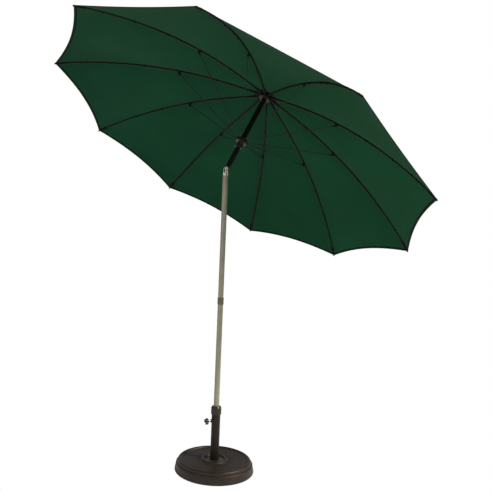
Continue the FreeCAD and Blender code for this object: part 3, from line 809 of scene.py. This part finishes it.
def caneHeight(radius, angle):
    # cane woven over and under the spokes, ring by ring
    along = (radius - base["weaveFrom"]) / base["strand"]
    if not 0 < along < (base["weaveTo"] - base["weaveFrom"]) / base["strand"]:
        return 0.0
    ring, within = int(along), along % 1.0
    spoke = angle * base["spokes"] / 2
    over = 0.5 + 0.5 * math.cos(spoke + math.pi * (ring % 2))
    height = base["dip"] + (1 - base["dip"]) * over
    strand = math.sin(math.pi * within) ** base["strandRound"] * height
    stake = max(0.0, math.cos(spoke * 2)) * (1 - over) * base["stake"]
    return base["relief"] * max(strand, stake)


def makeBase():
    columns = base["spokes"] * base["pointsPerSpoke"]
    weaveFloor = base["flat"] - 1.5 * mm
    rows = []
    for radius, height in baseOutline():
        row = []
        reach = max(radius, 0.5 * mm)
        for j in range(columns):
            angle = 2 * math.pi * j / columns
            relief = caneHeight(radius, angle) if height > weaveFloor else 0.0
            row.append((reach * math.cos(angle), reach * math.sin(angle), height + relief))
        rows.append(row)
    piece = makeGrid("weightedBase", rows, bronzeComposite, closed=True,
                     caps=True, smoothDegrees=50)
    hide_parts("base_plate")
    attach(piece, "base")


makeBase()
print("base made")


# CAD pieces that keep their shape

finishes = {
    # node: its material, and how far its edges are rounded in millimetres
    "base_tube": (tubePowder, 0.4), "screw_boss": (tubePowder, 0.8),
    "base_collar": (blackNylon, 1.2), "base_bush": (blackNylon, 0.3),
    "clamp_screw": (zincPlate, 0.3), "clamp_knob": (blackNylon, 1.8),
    "lower_mast": (bronzePowder, 0.2), "upper_mast": (bronzePowder, 0.2),
    "lower_mast_plug": (blackNylon, 0.3), "mast_ferrule": (ferrulePowder, 0.4),
    "mast_spigot": (zincPlate, 0.2), "snap_button": (zincPlate, 0.4),
    "snap_spring": (springSteel, 0.1), "tilt_fork": (nickelWithPaintedHighlight, 0.8),
    "tilt_pin": (zincPlate, 0.5), "tilt_button": (blackNylon, 0.5),
    "tilt_spring": (springSteel, 0.05), "tilt_tongue": (tubePowder, 0.8),
    "head_tube": (blackPowder, 0.2), "stop_pin": (zincPlate, 0.4),
    "crown_rivet": (zincPlate, 0.2), "crown_hub": (hubNylon, 0.5),
    "runner_hub": (hubNylon, 0.5), "top_plug": (blackNylon, 0.3), "finial": (blackNylon, 0.5),
    "crown_wire": (zincPlate, 0.0), "runner_wire": (zincPlate, 0.0),
}


leastRounding = 0.25       # less than this doesn't show, so those edges stay sharp


def finishNodes():
    for node, (material, roundingMm) in finishes.items():
        finish(node, material)
        if roundingMm > leastRounding:
            softenEdges(node, roundingMm * mm)
    for number in ribNumbers:
        finish("rib_" + number, blackPowder)
        finish("strut_" + number, strutPowder)


springs = {
    # the joint that presses it, the way it gives, the end that stays, and how much of its
    # length is left
    "snap_spring": ("snap_press", (1, 0, 0), (12.2 * mm, 0, 1.032), 0.84),
    "tilt_spring": ("tilt_release_press", (0, 1, 0), (0, 7 * mm, 1.731), 0.70),
}


def makeSprings():
    # a spring shortens as its button goes in; here each spring is only a copy of its node's mesh on
    # the mast's body, and it keeps its length
    for node, (joint, axis, anchor, keep) in springs.items():
        source = frame["nodes"][node]
        piece = bpy.data.objects.new(node + "Steel", source.data.copy())
        piece.matrix_world = source.matrix_world
        bpy.context.scene.collection.objects.link(piece)
        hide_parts(node)
        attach(piece, "mast")
        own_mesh(piece)


finishNodes()
makeSprings()
print("frame finished")


# stage and light

stage = {"floor": "#ffffff", "floorSize": 60.0, "world": 0.42, "aim": 0.4}
lights = {
    # kind, place, energy, size in metres or, for the sun, in degrees, and colour
    "key": ("AREA", (2.6, -3.0, 3.2), 45, 1.6, "#ffffff"),
    "sun": ("SUN", (3.0, -3.6, 5.5), 2.6, 8.0, "#fff2d8"),
    "fill": ("AREA", (-3.6, -1.4, 1.6), 12, 2.5, "#ffffff"),
}


def aimedLight(name, target):
    kind, place, energy, size, colour = lights[name]
    data = bpy.data.lights.new(name, kind)
    data.energy = energy
    data.color = linear(colour)[:3]
    if kind == "AREA":
        data.size = size
    else:
        data.angle = math.radians(size)
    light = bpy.data.objects.new(name, data)
    light.location = place
    light.rotation_mode = "QUATERNION"
    light.rotation_quaternion = (target - Vector(place)).to_track_quat("-Z", "Y")
    bpy.context.scene.collection.objects.link(light)


def makeFloor():
    half = stage["floorSize"] / 2
    mesh = bpy.data.meshes.new("floor")
    corners = [(-half, -half, 0), (half, -half, 0), (half, half, 0), (-half, half, 0)]
    mesh.from_pydata(corners, [], [(0, 1, 2, 3)])
    floor = bpy.data.objects.new("floor", mesh)
    # white paper, which the camera sees as plain white without shadows
    material, tree, principled, output = newMaterial("whitePaper", {
        "Roughness": 0.9, "Base Color": linear(stage["floor"])})
    plain = addNode(tree, "Emission", {"Color": linear(stage["floor"]), "Strength": 1.0})
    seen = addNode(tree, "LightPath").outputs["Is Camera Ray"]
    mixed = addNode(tree, "MixShader",
                    links={0: seen, 1: principled.outputs[0], 2: plain.outputs[0]})
    tree.links.new(mixed.outputs[0], output.inputs["Surface"])
    mesh.materials.append(material)
    bpy.context.scene.collection.objects.link(floor)


def makeWorld():
    # plain white to the camera, and much dimmer as a light
    world = bpy.data.worlds.new("studio")
    bpy.context.scene.world = world
    world.use_nodes = True
    tree = world.node_tree
    background = tree.nodes["Background"]
    background.inputs["Color"].default_value = (1.0, 1.0, 1.0, 1.0)
    seen = addNode(tree, "LightPath").outputs["Is Camera Ray"]
    strength = mapRange(tree, seen, 0.0, 1.0, stage["world"], 1.0)
    tree.links.new(strength, background.inputs["Strength"])


def makeLights():
    target = Vector(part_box("upper_mast")[0]) + Vector((0, 0, stage["aim"]))
    for name in lights:
        aimedLight(name, target)


makeFloor()
makeWorld()
makeLights()
bpy.context.scene.view_settings.view_transform = "Standard"
bpy.context.scene.view_settings.look = "None"
print("stage made")
